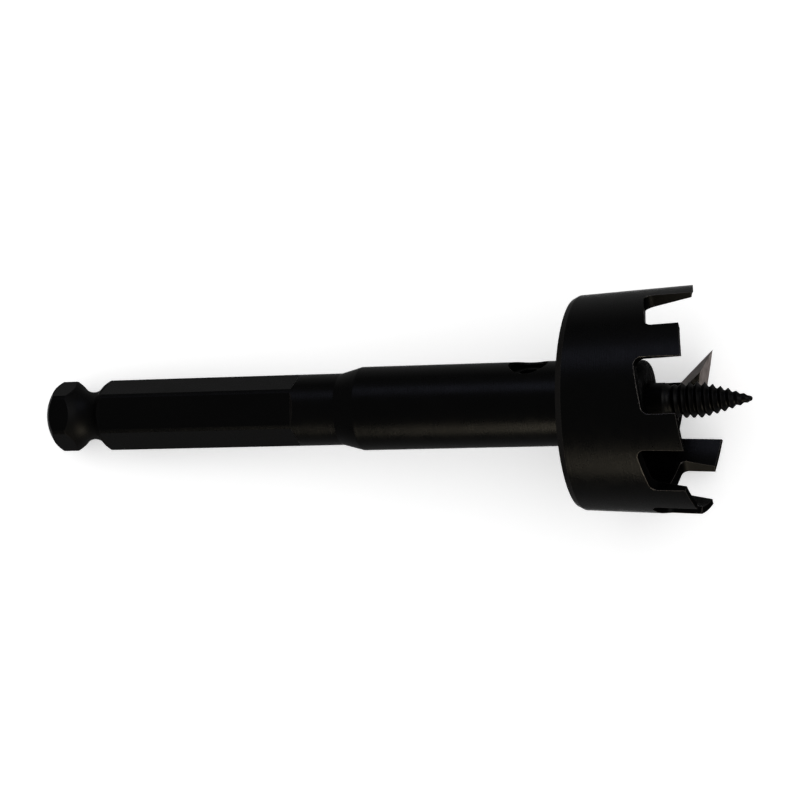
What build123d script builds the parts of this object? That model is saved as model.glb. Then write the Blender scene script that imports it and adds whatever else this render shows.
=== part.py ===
from build123d import *

import math
import os

# A self-feed wood bit: a hexagonal quick-change shank, a round barrel and a toothed cutter cup
# with one lip cutter, a replaceable feed screw in its middle and the set screw that holds it.
# The bit is drawn along X, from the end of the shank at x = 0 towards the tip, and is then laid
# down as it rests: on the end of one flat of its shank and on the back edge of its cup.
# Angles round the bit are in degrees from straight up (+Z) towards +Y.
# Seen from the shank, the bit turns towards smaller angles.

# Shank, turned from round bar and milled to a hexagon, in millimetres
shank_dia = 12.4
shank_dome = 2.65
hex_flats = 11.1
hex_length = 47.55
hex_turn = 4.1
groove_start = 5.15
groove_width = 6.7
groove_dia = 8.4
neck_length = 7.95
cone_length = 3.75

# Barrel, with the bore for the feed screw and the cross hole for the set screw
barrel_dia = 14.4
barrel_length = 38.2
screw_bore_dia = 6.1
screw_bore_depth = 26.5
drill_point_angle = 118.0
cross_hole_dia = 6.2
cross_hole_setback = 8.3
cross_hole_angle = 74.0
cross_hole_chamfer = 0.3

# Cutter cup
cut_dia = 38.1
cup_back_dia = 36.1
cup_length = 20.7
back_chamfer_rise = 0.5
back_chamfer_length = 1.0
cup_bore_dia = 32.6
cup_floor = 4.8
cup_corner = 1.6
hub_dia = 13.8
hub_height = 7.15
hub_edge = 1.2
rim_edge = 1.0
rim_thinning = 7.2

# Rim teeth: the angle of each leading edge, from the lip cutter round to the chip window
tooth_leads = (202.6, 248.0, 291.8, 335.8, 382.9, 428.0)
tooth_width = 19.0
tooth_relief = 7.8
gullet_depth = 7.9
gullet_lean = 10.0
gullet_corner = 1.3

# Lip cutter: a wedge across the cup from the hub to the rim
lip_angle = 162.6
lip_offset = 2.76
lip_setback = 1.25
lip_rake = 43.5
lip_relief = 12.3
lip_front = 2.85
lip_back = 4.3
lip_heel_angle = 178.0

# Chip window between the last tooth and the lip cutter
window_depth = 14.5
window_corner = 3.0
window_inner_dia = 27.0

# Feed screw
screw_dia = 6.0
screw_length = 42.0
screw_reach = 8.35
screw_shoulder = 2.5
thread_pitch = 1.29
thread_depth = 0.6
thread_crest_width = 0.1
thread_root_width = 0.18
thread_taper_length = 8.2
screw_tip_dia = 0.7
screw_flat_length = 9.0
screw_flat_depth = 0.5

# Socket set screw
set_screw_clearance = 0.05
set_screw_length = 3.2
set_screw_edge = 0.3
set_screw_socket = 3.0
set_screw_socket_depth = 1.6

# How far the bit rolls off that flat, onto the corner at the flat's end
rest_roll = 4.75

# Places along the bit, worked out from the lengths above
shank_r = shank_dia / 2
barrel_r = barrel_dia / 2
cut_r = cut_dia / 2
neck_end = hex_length + neck_length
barrel_start = neck_end + cone_length
cup_back = barrel_start + barrel_length
rim = cup_back + cup_length
cup_floor_face = cup_back + cup_floor
hub_face = cup_floor_face + hub_height
flat_r = hex_flats / 2
dome_r = (shank_r**2 + shank_dome**2) / (2 * shank_dome)
lip_edge = rim - lip_setback
lip_foot = lip_edge - (lip_front + lip_offset) / math.tan(math.radians(lip_rake))
window_floor = rim - window_depth
set_screw_place = cup_back - cross_hole_setback
tip = rim + screw_reach

# How far the shape of a cut reaches past the metal that it takes off
over = 1.0
past_rim = rim + over
outside_r = cut_r + over


def turned(shape, angle):
    """A shape drawn facing straight up, turned about the bit's axis to face the angle."""
    return Rot(-angle, 0, 0) * shape


def spot(x, radius, angle):
    """The point at a place along the bit, a radius and an angle round it."""
    return Vector(x, radius * math.sin(math.radians(angle)), radius * math.cos(math.radians(angle)))


def carried_out(side, start, end):
    """A flat outline along and across the bit, carried straight out between two distances."""
    return Pos(0, 0, start) * extrude(side, amount=end - start, dir=(0, 0, 1))


def lip_relief_at(across):
    """Where the lip cutter's back slope is along the bit, at a distance across the cup."""
    return lip_edge - (across + lip_offset) * math.tan(math.radians(lip_relief))


def outer_form():
    """The whole bit as turned, with no hollow: dome, shank, neck, cone, barrel and cup."""
    half = math.acos(1 - shank_dome / dome_r) / 2
    dome_middle = (dome_r * (1 - math.cos(half)), dome_r * math.sin(half))
    dome = ThreePointArc((0, 0), dome_middle, (shank_dome, shank_r))
    outline = Polyline(
        (shank_dome, shank_r),
        (neck_end, shank_r),
        (barrel_start, barrel_r),
        (cup_back, barrel_r),
        (cup_back, cup_back_dia / 2 - back_chamfer_rise),
        (cup_back + back_chamfer_length, cup_back_dia / 2),
        (rim, cut_r),
        (rim, 0),
        (0, 0),
    )
    return revolve(make_face(dome + outline), Axis.X)


def groove():
    """The round-bottomed quick-change groove: a right-angled V with its point rounded."""
    middle = groove_start + groove_width / 2
    point_r = shank_r - groove_width / 2
    rounding = (groove_dia / 2 - point_r) / (math.sqrt(2) - 1)
    reach = groove_width
    vee = make_face(
        Polyline(
            (middle, point_r),
            (middle + reach, point_r + reach),
            (middle - reach, point_r + reach),
            (middle, point_r),
        )
    )
    vee = fillet(vee.vertices().sort_by(Axis.Y)[0], rounding)
    return revolve(vee, Axis.X)


def flat_cut():
    """What a cutter takes off for one flat, with the slope that it leaves at its end."""
    rise = shank_r - flat_r + over
    side = Plane.XZ * make_face(
        Polyline(
            (-over, flat_r),
            (hex_length, flat_r),
            (hex_length + rise, flat_r + rise),
            (-over, flat_r + rise),
            (-over, flat_r),
        )
    )
    return extrude(side, amount=shank_dia, both=True)


def cup_hollow():
    """The inside of the cup round its hub, thinned towards the tips of the teeth."""
    bore_r = cup_bore_dia / 2
    thin_start = rim - rim_thinning
    grow = (cut_r - rim_edge - bore_r) * (past_rim - thin_start) / rim_thinning
    void = make_face(
        Polyline(
            (cup_floor_face, hub_dia / 2),
            (cup_floor_face, bore_r),
            (thin_start, bore_r),
            (past_rim, bore_r + grow),
            (past_rim, 0),
            (hub_face, 0),
            (hub_face, hub_dia / 2),
            (cup_floor_face, hub_dia / 2),
        )
    )
    floor_corners = void.vertices().sort_by(Axis.X)[:2]
    void = fillet(floor_corners, cup_corner)
    hub_corner = void.vertices().sort_by_distance((hub_face, hub_dia / 2))[0]
    void = fillet(hub_corner, hub_edge)
    return revolve(void, Axis.X)


def gullet(start, end):
    """The gap that a cutter with parallel sides leaves between two teeth, deepest at the next one."""
    half = cut_r * math.sin(math.radians((end - start) / 2))
    deep = rim - gullet_depth
    shallow = deep + 2 * half * math.tan(math.radians(gullet_lean))
    side = make_face(
        Polyline(
            (past_rim, -half), (shallow, -half), (deep, half), (past_rim, half), (past_rim, -half)
        )
    )
    side = fillet(side.vertices().sort_by(Axis.X)[:2], gullet_corner)
    return turned(carried_out(side, window_inner_dia / 2, outside_r), (start + end) / 2)


def tooth_end(lead):
    """What is ground off a tooth's end, so that only its leading edge cuts."""
    fall = math.tan(math.radians(tooth_relief))
    reach = cut_r * math.sin(math.radians(tooth_width)) + over
    side = make_face(
        Polyline(
            (rim + fall * over, -over),
            (rim - fall * reach, reach),
            (past_rim, reach),
            (past_rim, -over),
            (rim + fall * over, -over),
        )
    )
    return turned(carried_out(side, window_inner_dia / 2, outside_r), lead)


def lip_blank():
    """The lip cutter's wedge: a rake face in front, a relief behind, and a wall down to the floor."""
    side = make_face(
        Polyline(
            (lip_edge, -lip_offset),
            (lip_foot, lip_front),
            (cup_floor_face - over, lip_front),
            (cup_floor_face - over, lip_back),
            (lip_relief_at(lip_back), lip_back),
            (lip_edge, -lip_offset),
        )
    )
    return turned(carried_out(side, 0, outside_r), lip_angle)


def chip_window():
    """The opening in the wall ahead of the lip cutter, down to near the floor of the cup."""
    far = lip_back + over
    side = make_face(
        Polyline(
            (window_floor, -outside_r),
            (window_floor, lip_front),
            (lip_foot, lip_front),
            (lip_edge, -lip_offset),
            (lip_relief_at(far), far),
            (past_rim, far),
            (past_rim, -outside_r),
            (window_floor, -outside_r),
        )
    )
    foot = side.vertices().sort_by_distance((window_floor, lip_front))[0]
    side = fillet(foot, window_corner)
    ahead = turned(carried_out(side, 0, outside_r), lip_angle)
    last_flank = tooth_leads[-1] + tooth_width
    beside = Pos(window_floor + cup_length / 2 - over, outside_r, 0) * Box(
        cup_length, 2 * outside_r, 2 * outside_r
    )
    keep_clear = Pos(window_floor, 0, 0) * Rot(0, 90, 0) * Cylinder(
        window_inner_dia / 2, 4 * cup_length
    )
    window = (ahead & turned(beside, last_flank)) - keep_clear
    corner = window.edges().sort_by_distance(spot(window_floor, cut_r, last_flank))[0]
    return fillet(corner, window_corner)


def cross_hole():
    """The hole for the set screw, from the side of the barrel into the feed screw's bore."""
    reach = barrel_r + over
    hole = Pos(0, 0, reach / 2) * Cylinder(cross_hole_dia / 2, reach)
    return Pos(set_screw_place, 0, 0) * turned(hole, cross_hole_angle)


def bit_body():
    """Shank, neck, barrel and cutter cup in one piece."""
    blank = outer_form()
    lip = lip_blank() & blank
    body = blank - groove()
    for side in range(6):
        body -= turned(flat_cut(), hex_turn + 60 * side)
    body -= cup_hollow()
    ends = [lip_heel_angle] + [lead + tooth_width for lead in tooth_leads]
    for end, lead in zip(ends, tooth_leads):
        body -= gullet(end, lead)
    body -= chip_window()
    round_screw = Pos(rim, 0, 0) * Rot(0, 90, 0) * Cylinder(hub_dia / 2, 2 * (rim - hub_face))
    body += lip - round_screw
    for lead in tooth_leads:
        body -= tooth_end(lead)
    body -= Pos(hub_face, 0, 0) * Rot(0, 90, 0) * Cylinder(
        screw_bore_dia / 2, 2 * screw_bore_depth
    )
    drill_point = screw_bore_dia / 2 / math.tan(math.radians(drill_point_angle / 2))
    bore_end = hub_face - screw_bore_depth - drill_point / 2
    body -= Pos(bore_end, 0, 0) * Rot(0, 90, 0) * Cone(0, screw_bore_dia / 2, drill_point)
    body -= cross_hole()
    mouth = body.edges().sort_by_distance(spot(set_screw_place, barrel_r + over, cross_hole_angle))[0]
    return chamfer(mouth, cross_hole_chamfer)


def thread_ridge(path, height):
    """One stretch of the feed screw's thread: a ridge swept along a helix."""
    start = path @ 0
    place = Plane(origin=start, z_dir=path % 0, x_dir=Vector(0, start.Y, start.Z))
    foot = (thread_pitch - thread_root_width) / 2
    crest = thread_crest_width / 2
    sink = thread_depth / 4
    section = make_face(
        Polyline((-sink, -foot), (height, -crest), (height, crest), (-sink, foot), (-sink, -foot))
    )
    return sweep(place * section, path=path, is_frenet=True)


def feed_screw():
    """Plain shank, straight thread and tapered thread, with the flat for the set screw."""
    end = tip - screw_length
    screw_r = screw_dia / 2
    root_r = screw_r - thread_depth
    run_in = hub_face + screw_shoulder
    taper = tip - thread_taper_length
    tip_r = screw_tip_dia / 2
    core = revolve(
        make_face(
            Polyline(
                (end, 0),
                (end, screw_r - thread_depth),
                (end + thread_depth, screw_r),
                (run_in, screw_r),
                (run_in + thread_depth, root_r),
                (taper, root_r),
                (tip - tip_r, tip_r),
                (tip, 0),
                (end, 0),
            )
        ),
        Axis.X,
    )
    straight_start = run_in + thread_depth
    straight = Helix(
        thread_pitch, taper - straight_start, root_r, center=(straight_start, 0, 0), direction=(1, 0, 0)
    )
    # The tapered stretch runs from the tip back and stops a sixth of a turn short of the other
    gap_turn = 60.0
    tapered_start = tip - 2 * tip_r
    tapered = Helix(
        thread_pitch,
        tapered_start - taper - thread_pitch * gap_turn / 360,
        tip_r,
        center=(tapered_start, 0, 0),
        direction=(-1, 0, 0),
        cone_angle=math.degrees(math.atan((root_r - tip_r) / (tip - tip_r - taper))),
    )
    straight_stop, tapered_stop = [
        math.degrees(math.atan2((path @ 1).Y, (path @ 1).Z)) for path in (straight, tapered)
    ]
    in_step = straight_stop - tapered_stop + gap_turn
    screw = core + turned(thread_ridge(tapered, thread_depth), in_step)
    screw += thread_ridge(straight, thread_depth)
    flat = Pos(set_screw_place, 0, screw_r) * Box(screw_flat_length, screw_dia, 2 * screw_flat_depth)
    return screw - turned(flat, cross_hole_angle)


def set_screw():
    """The socket set screw, down on the feed screw's flat."""
    foot = screw_dia / 2 - screw_flat_depth
    radius = cross_hole_dia / 2 - set_screw_clearance
    plug = Pos(0, 0, foot + set_screw_length / 2) * Cylinder(radius, set_screw_length)
    plug = chamfer(plug.edges().filter_by(GeomType.CIRCLE), set_screw_edge)
    socket = carried_out(
        RegularPolygon(set_screw_socket / 2, 6, major_radius=False), 0, set_screw_socket_depth
    )
    plug -= Pos(0, 0, foot + set_screw_length - set_screw_socket_depth) * socket
    return Pos(set_screw_place, 0, 0) * turned(plug, cross_hole_angle)


def resting_place():
    """The turn and the pitch with which the bit lies on a flat's end and on the cup's back edge."""
    flat_end = dome_r - math.sqrt(dome_r**2 - flat_r**2)
    cup_edge = cup_back + back_chamfer_length
    pitch = math.degrees(math.atan((cup_back_dia / 2 - flat_r) / (cup_edge - flat_end)))
    return Rot(0, -pitch, 0) * Rot(hex_turn + rest_roll, 0, 0)


nodes = {"bit_body": bit_body(), "feed_screw": feed_screw(), "set_screw": set_screw()}
lying = resting_place()
nodes = {name: lying * shape for name, shape in nodes.items()}

# The origin is on the floor, under the middle of the box round the whole bit
boxes = [shape.bounding_box() for shape in nodes.values()]
low = [min(getattr(box.min, axis) for box in boxes) for axis in "XYZ"]
high = [max(getattr(box.max, axis) for box in boxes) for axis in "XYZ"]
to_origin = Pos(-(low[0] + high[0]) / 2, -(low[1] + high[1]) / 2, -low[2])

os.makedirs("parts", exist_ok=True)
for name, shape in nodes.items():
    export_step(to_origin * shape, f"parts/{name}.step")
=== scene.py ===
import math

import bmesh
import bpy
import numpy as np
from mathutils import Matrix, Vector


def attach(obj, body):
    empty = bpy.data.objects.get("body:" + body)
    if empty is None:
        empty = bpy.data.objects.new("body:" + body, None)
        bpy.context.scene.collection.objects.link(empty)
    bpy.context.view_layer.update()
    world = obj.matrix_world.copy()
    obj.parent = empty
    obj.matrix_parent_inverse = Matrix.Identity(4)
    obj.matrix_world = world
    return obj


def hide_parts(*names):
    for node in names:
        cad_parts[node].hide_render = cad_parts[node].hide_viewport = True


# A self-feed wood bit of black-oxide steel, lying on a white table.
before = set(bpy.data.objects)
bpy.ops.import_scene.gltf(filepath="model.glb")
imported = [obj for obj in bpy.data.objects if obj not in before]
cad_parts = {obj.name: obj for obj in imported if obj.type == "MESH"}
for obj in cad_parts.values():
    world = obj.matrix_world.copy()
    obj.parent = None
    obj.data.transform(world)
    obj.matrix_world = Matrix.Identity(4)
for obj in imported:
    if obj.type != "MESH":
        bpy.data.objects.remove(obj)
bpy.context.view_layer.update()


# Body of the bit.
# The real one is a forging, turned, milled and hardened, then blackened in a hot oxide bath.
# Only the lip cutter is ground bright again. Shank, barrel, cup and hub are one piece of steel.

# The bit lies on the back of its cup and on a corner at the end of one shank flat. Its forms are
# worked out in millimetres along and round its own axis, from the end of the shank, and are then
# laid down by the same lean, roll and place as the CAD.
LEAN = math.radians(7.38726)
HEX_TURN = 4.1
ROLL_OFF_FLAT = 4.75
ROLL = math.radians(HEX_TURN + ROLL_OFF_FLAT)
SHANK_END = np.array([-62.6894, 0.0430, 5.3713])
LYING = np.array(Matrix.Rotation(-LEAN, 3, "Y") @ Matrix.Rotation(ROLL, 3, "X"))

# Places along the bit and radii round its axis.
GROOVE = (5.15, 11.85)
FLATS_STEP = (47.2, 48.6)
SHANK = {"dome_end": 2.65, "end": 55.5, "radius": 6.2}
BARREL = {"start": 59.25, "radius": 7.2}
SCREW_BORE_RADIUS = 3.05
CROSS_HOLE = {"place": 89.15, "radius": 3.1, "chamfer": 0.3, "worn_reach": 4.0}
CUP = {
    "back": 97.45,
    "slope_end": 98.45,
    "rim": 118.15,
    "back_radius": 17.55,
    "slope_radius": 18.05,
    "rim_radius": 19.05,
    "bore_start": 103.85,
    "thin_from": 110.95,
    "bore_radius": 16.3,
    "mouth_radius": 18.05,
}
HUB = {"foot": 102.25, "radius": 6.9}
LIP = {
    "edge": 116.9,
    "foot": 6.5,
    "offset": 2.76,
    "angle": math.radians(162.6),
    "rake": math.radians(43.5),
    "relief": math.radians(12.3),
}

# Straight runs of the turned outline: where each starts and ends along the bit, its radius at
# both ends, and +1 where the steel's face looks outwards or -1 where it looks at the axis.
TURNED_RUNS = (
    (SHANK["dome_end"], SHANK["end"], SHANK["radius"], SHANK["radius"], 1),
    (SHANK["end"], BARREL["start"], SHANK["radius"], BARREL["radius"], 1),
    (BARREL["start"], CUP["back"], BARREL["radius"], BARREL["radius"], 1),
    (CUP["back"], CUP["slope_end"], CUP["back_radius"], CUP["slope_radius"], 1),
    (CUP["slope_end"], CUP["rim"], CUP["slope_radius"], CUP["rim_radius"], 1),
    (CUP["bore_start"], CUP["thin_from"], CUP["bore_radius"], CUP["bore_radius"], -1),
    (CUP["thin_from"], CUP["rim"], CUP["bore_radius"], CUP["mouth_radius"], -1),
)
# How near to a run, a plane or a round wall a face has to lie to count as part of it, how much
# further than its ends a run may reach, as a share, and how well a face has to look its way.
NEAR_RUN = 0.004
NEAR_PLANE = 0.02
NEAR_WALL = 0.05
PAST_END = 0.002
ALIGNED = 0.9


def to_bit(points):
    """Points of the row frame in metres, as millimetres along the bit (x) and across it (y, z).

    The shank's end is taken off, and the rest is turned back by the lean and the roll.
    """
    return (points * 1000 - SHANK_END) @ LYING


def from_bit(points):
    """The way back: turned by roll and lean, moved to the shank's end, in metres."""
    return (points @ LYING.T + SHANK_END) / 1000


def read(mesh, what, field, width, kind=np.float32):
    """One field of a mesh's vertices, loops or faces, as an array with that many columns."""
    items = getattr(mesh, what)
    values = np.empty(len(items) * width, kind)
    items.foreach_get(field, values)
    return values.reshape(-1, width) if width > 1 else values


def between(values, low, high):
    """True where low < value < high."""
    return (values > low) & (values < high)


def shade_turned(mesh, runs):
    """Normals of a triangle mesh, exact on turned surfaces.

    A corner on a straight run from (x0, r0) to (x1, r1) gets the run's own normal,
    (-(r1 - r0), x1 - x0) / length in the (x, r) plane, carried round to the corner's angle.
    Every other corner keeps the normal that Blender gives it.
    Returns which faces are on a run.
    """
    corner = read(mesh, "loops", "vertex_index", 1, np.int32)
    x, y, z = to_bit(read(mesh, "vertices", "co", 3).astype(float)).T
    radius = np.hypot(y, z)
    outward = np.c_[0 * x, y / radius.clip(1e-9), z / radius.clip(1e-9)]
    faces = corner.reshape(-1, 3)
    face_normal = read(mesh, "polygons", "normal", 3).astype(float) @ LYING
    normals = read(mesh, "corner_normals", "vector", 3).astype(float)
    turned = np.zeros(len(faces), bool)
    for x0, x1, r0, r1, facing in runs:
        share = (x - x0) / (x1 - x0)
        off_run = np.abs(radius - r0 - (r1 - r0) * share)
        near = between(share, -PAST_END, 1 + PAST_END) & (off_run < NEAR_RUN)
        length = math.hypot(x1 - x0, r1 - r0)
        run_normal = outward * (x1 - x0) / length + np.array([-(r1 - r0) / length, 0, 0])
        middle = run_normal[faces].mean(1)
        on_run = near[faces].all(1) & ((face_normal * middle).sum(1) * facing > ALIGNED)
        chosen = np.repeat(on_run, 3)
        normals[chosen] = (run_normal[corner[chosen]] * facing) @ LYING.T
        turned |= on_run
    mesh.normals_split_custom_set(normals)
    return turned


def face_mask(mesh, name, share):
    """Stores a share from 0 to 1 per face as an attribute that a material can read."""
    mask = mesh.attributes.new(name, "FLOAT", "FACE")
    mask.data.foreach_set("value", share.astype(np.float32))


def smooth(mesh, sharp_from):
    """Smooth shading, except at edges that turn by more than sharp_from degrees."""
    mesh.polygons.foreach_set("use_smooth", np.ones(len(mesh.polygons), bool))
    mesh.set_sharp_from_angle(angle=math.radians(sharp_from))


def put(name, data):
    """A new object at the origin that holds a mesh, a camera or a light."""
    thing = bpy.data.objects.new(name, data)
    bpy.context.scene.collection.objects.link(thing)
    return thing


def coat(mesh, material):
    """Gives a mesh one material, in place of any that it had."""
    mesh.materials.clear()
    mesh.materials.append(material)


# The body's triangles from the CAD, joined at their corners.
body_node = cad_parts["bit_body"]
body_mesh = body_node.data.copy()
body_mesh.name = "bit_steel"
joined = bmesh.new()
joined.from_mesh(body_mesh)
bmesh.ops.remove_doubles(joined, verts=joined.verts, dist=2e-6)
joined.to_mesh(body_mesh)
joined.free()
if "custom_normal" in body_mesh.attributes:
    body_mesh.attributes.remove(body_mesh.attributes["custom_normal"])
smooth(body_mesh, sharp_from=25)
turned_faces = shade_turned(body_mesh, TURNED_RUNS)
face_mask(body_mesh, "turned", turned_faces)

# The lip's two ground faces: the rake in front of the cutting edge and the relief behind it.
# The rake gets only half as much of the bright steel as the relief. That is painted shade: it is
# drawn darker because it faces away from the light.
RAKE_BRIGHT_PAINTED_SHADE = 0.5
RELIEF_BRIGHT = 1.0
centre = to_bit(read(body_mesh, "polygons", "center", 3).astype(float))
x, y, z = centre.T
radius = np.hypot(y, z)
out = y * math.sin(LIP["angle"]) + z * math.cos(LIP["angle"])
ahead = y * math.cos(LIP["angle"]) - z * math.sin(LIP["angle"]) + LIP["offset"]
on_lip = (out > LIP["foot"]) & (ahead > -NEAR_WALL)
on_rake = np.abs(x - LIP["edge"] + ahead / math.tan(LIP["rake"])) < NEAR_PLANE
on_relief = np.abs(x - LIP["edge"] + ahead * math.tan(LIP["relief"])) < NEAR_PLANE
face_mask(body_mesh, "ground_with_painted_shade", on_lip * (RAKE_BRIGHT_PAINTED_SHADE * on_rake + RELIEF_BRIGHT * on_relief))

# The inside of the cup, the gaps between the teeth and the cross hole are milled or drilled, with
# less sheen than the turned faces. The hub round the screw is left as forged, with a rough skin
# that is a little less dull.
HUB_MILLED = 0.6
in_cup = x > HUB["foot"] - NEAR_WALL
cut = in_cup & (~turned_faces | (radius < CUP["bore_radius"] + NEAR_WALL))
hole_reach = CROSS_HOLE["radius"] + CROSS_HOLE["chamfer"] + NEAR_WALL
in_barrel_wall = between(radius, SCREW_BORE_RADIUS + NEAR_WALL, BARREL["radius"] - 2 * NEAR_WALL)
cut |= (np.abs(x - CROSS_HOLE["place"]) < hole_reach) & in_barrel_wall
on_hub = (x > HUB["foot"]) & between(radius, SCREW_BORE_RADIUS, HUB["radius"] + NEAR_WALL)
face_mask(body_mesh, "milled", np.where(on_hub, HUB_MILLED, 1.0) * cut)
face_mask(body_mesh, "forged", on_hub)

# The groove near the shank's end has a duller skin than the flats beside it.
GROOVE_DULL = 0.22
in_groove = between(x, GROOVE[0] - NEAR_WALL, GROOVE[1] + NEAR_WALL)
in_groove &= radius < SHANK["radius"] - NEAR_WALL
face_mask(body_mesh, "dull", GROOVE_DULL * in_groove)

# The slope round the back of the cup has lost a little of its oxide, and so have the steps in
# which the shank's flats end, whose faces look back along the bit.
SLOPE_WORN = 0.05
STEP_WORN = 0.2
LOOKS_BACK = -0.4
on_slope = between(x, CUP["back"], CUP["slope_end"]) & (radius > CUP["back_radius"] - NEAR_WALL)
looks_along = (read(body_mesh, "polygons", "normal", 3).astype(float) @ LYING)[:, 0]
on_step = between(x, *FLATS_STEP) & (looks_along < LOOKS_BACK)
face_mask(body_mesh, "worn", SLOPE_WORN * on_slope + STEP_WORN * on_step)

# Distance along the bit, which places the lathe's lines and the worn edges.
along = body_mesh.attributes.new("along", "FLOAT", "POINT")
vertices = to_bit(read(body_mesh, "vertices", "co", 3).astype(float))
along.data.foreach_set("value", vertices[:, 0].astype(np.float32))


def rgb(code):
    """A colour written as sRGB hex, as linear values for a shader socket.

    Each part c from 0 to 1 becomes c / 12.92 up to 0.04045, and ((c + 0.055) / 1.055) ** 2.4 above.
    """
    parts = [int(code[i : i + 2], 16) / 255 for i in (1, 3, 5)]
    return (*[c / 12.92 if c <= 0.04045 else ((c + 0.055) / 1.055) ** 2.4 for c in parts], 1.0)


def feed(tree, socket, value):
    """Sets a socket to a plain value, or links it to a socket or to a node's first one in use."""
    if isinstance(value, bpy.types.Node):
        value = next(output for output in value.outputs if output.enabled)
    if isinstance(value, bpy.types.NodeSocket):
        tree.links.new(value, socket)
    else:
        socket.default_value = value


def add(tree, kind, *inputs, **values):
    """One shader node with its settings and links.

    Values go to the sockets or settings that they are named after, and inputs go to the node's
    sockets in use, in turn.
    """
    node = tree.nodes.new(kind)
    named = []
    for name, value in values.items():
        socket = node.inputs.get(name.replace("_", " "))
        if socket is None:
            setattr(node, name, value)
        else:
            named.append((socket, value))
    in_use = [socket for socket in node.inputs if socket.enabled]
    for socket, value in [*named, *zip(in_use, inputs)]:
        feed(tree, socket, value)
    return node


# Black oxide gives the eye a nearly black metal with a soft sheen that stays dim at low angles.
# Where an edge has lost it, a dark brownish grey shows.
OXIDE_TONES = ("#050505", "#070707")
OXIDE_GLINT = "#595959"
OXIDE_WORN = "#5c5855"
# The oxide is a thin ceramic skin, so part of its sheen is not a metal's, but nearly all of it is
# on milled faces, which are rougher too.
OXIDE_METALLIC = 0.9
MILLED_METALLIC = 0.99
MILLED_ROUGHNESS = 0.18
# Sizes of the patterns in millimetres: the blotches that the hot bath leaves in sheen and in
# tone, the lumps of the forged skin, and the lathe's lines, which are drawn a little coarser than
# real ones, so that they show. The spread is how far the roughness goes down and up in a blotch.
SHEEN_BLOTCH = 2.4
SHEEN_SPREAD = (-0.04, 0.05)
TONE_BLOTCH = 14.0
FORGED_LUMP = 0.9
LATHE_LINE = 0.15


def surface_relief(tree, place, mark, soft, lathe_lines, rough_skin):
    """The shading normal: broken edges, then lathe lines, then forged lumps.

    Lathe lines: a bump of a noise that runs only along the bit, times the mask "turned".
    Forged lumps: a bump of a noise in all directions, times the mask "forged".
    """
    lines = add(
        tree,
        "ShaderNodeTexNoise",
        noise_dimensions="1D",
        W=mark["along"],
        Scale=1 / LATHE_LINE,
        Detail=3.0,
    )
    height = add(tree, "ShaderNodeMath", lines, mark["turned"], operation="MULTIPLY")
    bump = add(
        tree, "ShaderNodeBump", Height=height, Strength=lathe_lines, Distance=0.00004, Normal=soft
    )
    lumps = add(
        tree,
        "ShaderNodeTexNoise",
        Vector=place,
        Scale=1000 / FORGED_LUMP,
        Detail=3.0,
        Roughness=0.6,
    )
    skin = add(tree, "ShaderNodeMath", lumps, mark["forged"], operation="MULTIPLY")
    return add(
        tree, "ShaderNodeBump", Height=skin, Strength=rough_skin, Distance=0.0004, Normal=bump
    )


def worn_share(tree, mark, soft, edge_wear):
    """How much of the oxide is gone, from 0 to 1.

    At a sharp edge the softened normal n leaves the face's own normal f, and wear rises from 0 to
    1 as n . f falls from 0.99 to 0.9. That is taken times edge_wear on the cup and round the
    cross hole, and times 0 elsewhere. The mask "worn" is added. The cup's wear starts a little
    past its back, because the hollow corner between barrel and cup is not rubbed.
    """
    flat = add(tree, "ShaderNodeNewGeometry").outputs["Normal"]
    agree = add(tree, "ShaderNodeVectorMath", soft, flat, operation="DOT_PRODUCT")
    edge = add(tree, "ShaderNodeMapRange", agree, From_Min=0.99, From_Max=0.9)
    on_cup = add(
        tree,
        "ShaderNodeMapRange",
        mark["along"],
        From_Min=CUP["back"] + 0.01,
        From_Max=CUP["back"] + 0.15,
        To_Max=edge_wear,
    )
    hole, reach = CROSS_HOLE["place"], CROSS_HOLE["worn_reach"]
    at_hole = add(tree, "ShaderNodeMath", mark["along"], hole, reach, operation="COMPARE")
    where = add(tree, "ShaderNodeMath", at_hole, edge_wear, on_cup, operation="MULTIPLY_ADD")
    return add(tree, "ShaderNodeMath", edge, where, mark["worn"], operation="MULTIPLY_ADD")


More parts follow.
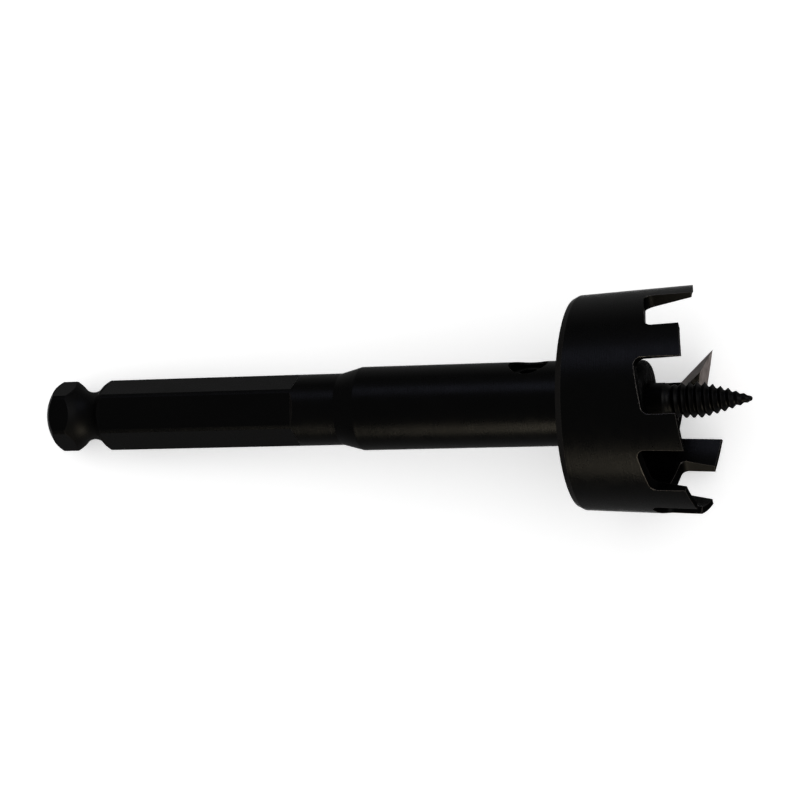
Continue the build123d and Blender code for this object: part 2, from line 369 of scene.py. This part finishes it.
def black_oxide(name, roughness, edge_round, lathe_lines=0.0, rough_skin=0.0, edge_wear=0.0):
    """Steel blackened in a hot oxide bath.

    Roughness is a noise spread round the given value, plus the mask "dull", plus the mask
    "milled" times MILLED_ROUGHNESS. Colour is a slow noise between two tones, mixed to the worn
    colour by worn_share. edge_round is the radius in millimetres that the Bevel node gives to
    sharp edges. Object coordinates are in metres, so a pattern's scale is 1000 / its size.
    """
    material = bpy.data.materials.new(name)
    material.use_nodes = True
    tree = material.node_tree
    place = add(tree, "ShaderNodeTexCoord").outputs["Object"]
    mark = {
        mask: add(tree, "ShaderNodeAttribute", attribute_name=mask).outputs["Fac"]
        for mask in ("turned", "forged", "milled", "dull", "worn", "along")
    }
    soft = add(tree, "ShaderNodeBevel", Radius=edge_round / 1000, samples=4)

    blotch = add(
        tree,
        "ShaderNodeTexNoise",
        Vector=place,
        Scale=1000 / SHEEN_BLOTCH,
        Detail=4.0,
        Roughness=0.6,
    )
    sheen = add(
        tree,
        "ShaderNodeMapRange",
        blotch,
        From_Min=0.3,
        From_Max=0.7,
        To_Min=roughness + SHEEN_SPREAD[0],
        To_Max=roughness + SHEEN_SPREAD[1],
    )
    dull = add(tree, "ShaderNodeMath", sheen, mark["dull"], operation="ADD")
    coarse = add(
        tree, "ShaderNodeMath", mark["milled"], MILLED_ROUGHNESS, dull, operation="MULTIPLY_ADD"
    )

    slow = add(tree, "ShaderNodeTexNoise", Vector=place, Scale=1000 / TONE_BLOTCH, Detail=2.0)
    low, high = map(rgb, OXIDE_TONES)
    tone = add(tree, "ShaderNodeMix", slow, low, high, data_type="RGBA")
    worn = worn_share(tree, mark, soft, edge_wear)
    colour = add(tree, "ShaderNodeMix", worn, tone, rgb(OXIDE_WORN), data_type="RGBA")
    metallic = add(
        tree,
        "ShaderNodeMapRange",
        mark["milled"],
        To_Min=OXIDE_METALLIC,
        To_Max=MILLED_METALLIC,
    )

    shader = tree.nodes["Principled BSDF"].inputs
    feed(tree, shader["Base Color"], colour)
    feed(tree, shader["Metallic"], metallic)
    feed(tree, shader["Roughness"], coarse)
    feed(tree, shader["Specular Tint"], rgb(OXIDE_GLINT))
    relief = surface_relief(tree, place, mark, soft, lathe_lines, rough_skin)
    feed(tree, shader["Normal"], relief)
    return material


# Bare tool steel, freshly ground, is grey and half bright, with a fine ripple from the wheel. It
# has begun to stain brown in soft patches, which are drawn 1.6 mm wide, coarser than real specks
# of rust, so that they show.
BARE_STEEL = "#605550"
BARE_GLINT = "#b8b8b8"
STAIN = "#4a3a33"
STAIN_SIZE = 1.6
STAIN_RANGE = {"From_Min": 0.4, "From_Max": 0.64}
STAINED_SHARE = 0.65
RIPPLE = 1.1


def grind_bare(material):
    """Turns black oxide to bare steel by the mask "ground".

    The share of bare steel is that mask, times 1 where clean and STAINED_SHARE in a stain. On the
    rake the mask is only half, as painted shade. A stain is where a noise is high, and grows from
    nothing to full over STAIN_RANGE.
    """
    tree = material.node_tree
    oxide = tree.nodes["Principled BSDF"]
    place = add(tree, "ShaderNodeTexCoord").outputs["Object"]
    ground_with_painted_shade = add(tree, "ShaderNodeAttribute", attribute_name="ground_with_painted_shade").outputs["Fac"]
    patches = add(
        tree, "ShaderNodeTexNoise", Vector=place, Scale=1000 / STAIN_SIZE, Detail=2.0, Roughness=0.5
    )
    stained = add(tree, "ShaderNodeMapRange", patches, **STAIN_RANGE)
    clean = add(
        tree, "ShaderNodeMapRange", patches, **STAIN_RANGE, To_Min=1.0, To_Max=STAINED_SHARE
    )
    colour = add(tree, "ShaderNodeMix", stained, rgb(BARE_STEEL), rgb(STAIN), data_type="RGBA")
    wheel = add(tree, "ShaderNodeTexNoise", Vector=place, Scale=1000 / RIPPLE, Detail=3.0)
    ripple = add(tree, "ShaderNodeBump", Height=wheel, Strength=0.25, Distance=0.00002)
    steel = add(
        tree,
        "ShaderNodeBsdfPrincipled",
        Base_Color=colour,
        Metallic=1.0,
        Roughness=0.4,
        Specular_Tint=rgb(BARE_GLINT),
        Normal=ripple,
    )
    # The mask is half on the rake, which paints shade there.
    share = add(tree, "ShaderNodeMath", ground_with_painted_shade, clean, operation="MULTIPLY")
    blend = add(tree, "ShaderNodeMixShader", share, oxide, steel)
    feed(tree, tree.nodes["Material Output"].inputs["Surface"], blend)


body_steel = black_oxide(
    "black_oxide_steel",
    roughness=0.28,
    edge_round=0.16,
    lathe_lines=0.4,
    rough_skin=0.6,
    edge_wear=0.28,
)
grind_bare(body_steel)
coat(body_node.data, body_steel)
coat(body_mesh, body_steel)
bit_body = put("bit_steel", body_mesh)
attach(bit_body, "root")
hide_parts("bit_body")


# Feed screw.
# A turned and thread-rolled steel screw, blackened like the body, that pulls the bit into the
# wood. Its plain shank stands in the barrel's bore, where the set screw presses on a flat.

SCREW = {
    "start": 84.5,
    "tip": 126.5,
    "radius": 3.0,
    "root": 2.4,
    "end_slope": 0.6,
    "flat": (84.65, 93.65),
    "flat_depth": 0.5,
    "flat_angle": math.radians(74.0),
    "shoulder": 111.9,
    "shoulder_slope": 0.9,
    "taper": 8.2,
    "point": 0.45,
    "pitch": 1.29,
    "phase": 0.29,
    "crest": 0.09,
    "valley": 0.2,
}
# The thread's depth, at distances back from the tip. It grows from nothing behind the rounded
# point, and fades out again over the last turns before the shoulder.
THREAD_LENGTH = SCREW["tip"] - SCREW["shoulder"]
THREAD_DEPTH = (
    (SCREW["point"], 0.0),
    (0.7, 0.14),
    (1.6, 0.22),
    (2.9, 0.33),
    (4.2, 0.52),
    (6.8, 0.56),
    (10.9, 0.6),
    (THREAD_LENGTH - 1.9, 0.34),
    (THREAD_LENGTH - 0.2, 0.0),
)
# Points round a ring, rings on the plain part and on the rounded point, how far past the shoulder
# the thread's rings start, how far apart they are, and how long the step at each end of the flat.
AROUND = 96
PLAIN_RINGS = 8
POINT_RINGS = 10
RINGS_START = 0.05
RING_STEP = 0.035
FLAT_STEP = 0.002


def threaded_screw(s):
    """The screw as one grid of rings: radius r over distance x and angle a, all at once.

    Outline without thread: c(x), straight between a few places and round at the point.
    Thread depth: d(x), straight between the places of THREAD_DEPTH.
    Phase of the right-hand thread: u = frac((x - phase) / pitch + a / 360), with a from +Z to +Y.
    Ridge: h(u) = 1 on the crest, 0 in the valley and a straight flank between. r = c + d h.
    The flat cuts off what stands out further than radius - flat_depth towards flat_angle.
    """
    start, tip, shoulder, point = s["start"], s["tip"], s["shoulder"], s["point"]
    slope, pitch, radius, root = s["end_slope"], s["pitch"], s["radius"], s["root"]
    places = np.sort(
        np.r_[
            [start, start, start + slope],
            np.add.outer(s["flat"], [-FLAT_STEP, FLAT_STEP]).ravel(),
            np.linspace(s["flat"][1] + slope, shoulder, PLAIN_RINGS),
            np.arange(shoulder + RINGS_START, tip - point, RING_STEP),
            tip - point * (1 - np.sin(np.linspace(0, math.pi / 2, POINT_RINGS))),
        ]
    )
    x, a = np.meshgrid(places, np.linspace(0, 360, AROUND, endpoint=False), indexing="ij")
    from_tip = tip - places
    outline = (
        (start, radius - slope),
        (start + slope, radius),
        (shoulder, radius),
        (shoulder + s["shoulder_slope"], root),
        (tip - s["taper"], root),
        (tip - point, point),
    )
    core = np.interp(places, *zip(*outline))
    round_end = np.sqrt(np.clip(point**2 - (point - from_tip) ** 2, 0, None))
    core = np.where(from_tip < point, round_end, core)
    core[0] = 0.0
    depth = np.interp(from_tip, *zip(*THREAD_DEPTH))
    phase = ((x - s["phase"]) / pitch + a / 360 + 0.5) % 1.0 - 0.5
    flank = (pitch - s["crest"] - s["valley"]) / 2 / pitch
    ridge = np.clip(1 - (np.abs(phase) - s["crest"] / 2 / pitch) / flank, 0, 1)
    r = core[:, None] + depth[:, None] * ridge
    angle = np.radians(a)
    y, z = r * np.sin(angle), r * np.cos(angle)
    facing = s["flat_angle"]
    reach = y * math.sin(facing) + z * math.cos(facing)
    over = np.clip(reach - radius + s["flat_depth"], 0, None) * between(x, *s["flat"])
    return np.stack([x, y - over * math.sin(facing), z - over * math.cos(facing)], -1)


def ring_mesh(name, grid):
    """A closed mesh from a grid of rings, whose first and last rings are single points.

    Point (i, j) is joined with (i + 1, j), (i + 1, j + 1) and (i, j + 1), where j + 1 goes round,
    and both end points are joined with their nearest ring by a fan.
    """
    rings, around = grid.shape[:2]
    body = grid[1:-1].reshape(-1, 3)
    points = np.vstack([grid[0, :1], body, grid[-1, :1]])
    row, col = np.meshgrid(np.arange(rings - 3), np.arange(around), indexing="ij")
    here = 1 + row * around + col
    beside = 1 + row * around + (col + 1) % around
    quads = np.stack([here, here + around, beside + around, beside], -1).reshape(-1, 4)
    first = np.arange(around)
    last = len(points) - 1
    low_fan = np.stack([np.zeros(around, int), 1 + first, 1 + (first + 1) % around], -1)
    end = 1 + (rings - 3) * around
    high_fan = np.stack([np.full(around, last), end + (first + 1) % around, end + first], -1)
    mesh = bpy.data.meshes.new(name)
    mesh.from_pydata(from_bit(points), [], quads.tolist() + low_fan.tolist() + high_fan.tolist())
    smooth(mesh, sharp_from=32)
    return mesh


# The screw's oxide is rougher than the body's, so it gives a wide, weak sheen.
screw_steel = black_oxide("black_oxide_screw_steel", roughness=0.42, edge_round=0.05)
screw_mesh = ring_mesh("feed_screw_steel", threaded_screw(SCREW))
coat(screw_mesh, screw_steel)
coat(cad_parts["feed_screw"].data, screw_steel)
feed_screw = put("feed_screw_steel", screw_mesh)
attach(feed_screw, "root")
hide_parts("feed_screw")


# Set screw.
# A short socket set screw of blackened alloy steel, deep in the cross hole of the barrel.
# It is the CAD node itself, with its own dull finish.

set_screw_steel = black_oxide("black_oxide_set_screw", roughness=0.45, edge_round=0.08)
set_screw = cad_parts["set_screw"]
coat(set_screw.data, set_screw_steel)


# Table and surroundings.
# A white sweep in a white room. Seen straight on, in a mirror or through glass, the sweep glows a
# little, which makes it plain white, and the shadow under the bit stays on it.

TABLE_REACH = 3.0
GLOW = 0.34
ROOM_LIGHT = 0.92

table_mesh = bpy.data.meshes.new("table")
corners = [(-1, -1, 0), (1, -1, 0), (1, 1, 0), (-1, 1, 0)]
table_mesh.from_pydata(TABLE_REACH * np.array(corners), [], [(0, 1, 2, 3)])
table = put("table", table_mesh)
white = bpy.data.materials.new("white_sweep")
white.use_nodes = True
tree = white.node_tree
seen = add(tree, "ShaderNodeLightPath").outputs
mirrored, through = seen["Is Glossy Ray"], seen["Is Transmission Ray"]
indirect = add(tree, "ShaderNodeMath", mirrored, through, operation="MAXIMUM")
in_view = add(tree, "ShaderNodeMath", seen["Is Camera Ray"], indirect, operation="MAXIMUM")
glow = add(tree, "ShaderNodeMath", in_view, GLOW, operation="MULTIPLY")
paper = tree.nodes["Principled BSDF"].inputs
feed(tree, paper["Base Color"], rgb("#fafafa"))
feed(tree, paper["Roughness"], 0.9)
feed(tree, paper["Specular IOR Level"], 0.0)
feed(tree, paper["Emission Color"], rgb("#ffffff"))
feed(tree, paper["Emission Strength"], glow)
coat(table_mesh, white)

world = bpy.data.worlds.new("studio")
bpy.context.scene.world = world
world.use_nodes = True
air = world.node_tree.nodes["Background"].inputs
air["Color"].default_value = rgb("#ffffff")
air["Strength"].default_value = ROOM_LIGHT


# Camera and lights.
# The camera stands nearly overhead, a little past the tip. Its place in millimetres and its two
# directions are in the bit's own frame, and its focal length is in widths of one picture point.

PICTURE_WIDTH = 800
FOCAL_LENGTH = 2505
SENSOR_WIDTH = 36.0
EYE = np.array([196.240, 6.433, 409.594])
EYE_RIGHT = (0.952435, -0.031350, -0.303126)
EYE_FORWARD = (-0.303610, -0.011908, -0.952722)

camera_data = bpy.data.cameras.new("camera")
camera_data.sensor_width = SENSOR_WIDTH
camera_data.lens = SENSOR_WIDTH * FOCAL_LENGTH / PICTURE_WIDTH
camera_data.clip_start = 0.01
camera = put("camera", camera_data)
right = Vector(LYING @ EYE_RIGHT).normalized()
forward = Vector(LYING @ EYE_FORWARD).normalized()
above = right.cross(forward).normalized()
turn = Matrix((right, above, -forward)).transposed()
camera.matrix_world = Matrix.Translation(Vector(from_bit(EYE))) @ turn.to_4x4()
bpy.context.scene.camera = camera

LIT_POINT = Vector((0, 0, 0.015))


def soft_box(name, place, size, power, colour):
    """A rectangular soft light that looks at the bit and shows in its sheen, not on the table.

    Its place and size are in metres and its power in watts.
    """
    light = bpy.data.lights.new(name, "AREA")
    light.shape = "RECTANGLE"
    light.size, light.size_y = size
    light.energy = power
    light.color = rgb(colour)[:3]
    lamp = put(name, light)
    lamp.location = place
    lamp.visible_diffuse = False
    lamp.rotation_euler = (LIT_POINT - Vector(place)).to_track_quat("-Z", "Y").to_euler()


# A cool, weak light lifts the upper facets. A warm, strong one, low on the other side, draws the
# bright band along barrel and cup. A neutral one ahead of the tip shows the form from behind.
soft_box("upper_soft_box", (0.0, 0.57, 0.66), (0.84, 0.32), 4.4, "#d6dcff")
soft_box("lower_soft_box", (0.11, -0.84, 0.27), (0.68, 0.45), 21.5, "#fff2d6")
soft_box("front_soft_box", (0.8, 0.2, 0.62), (0.5, 0.6), 9.0, "#ffffff")

scene = bpy.context.scene
scene.view_settings.view_transform = "Standard"
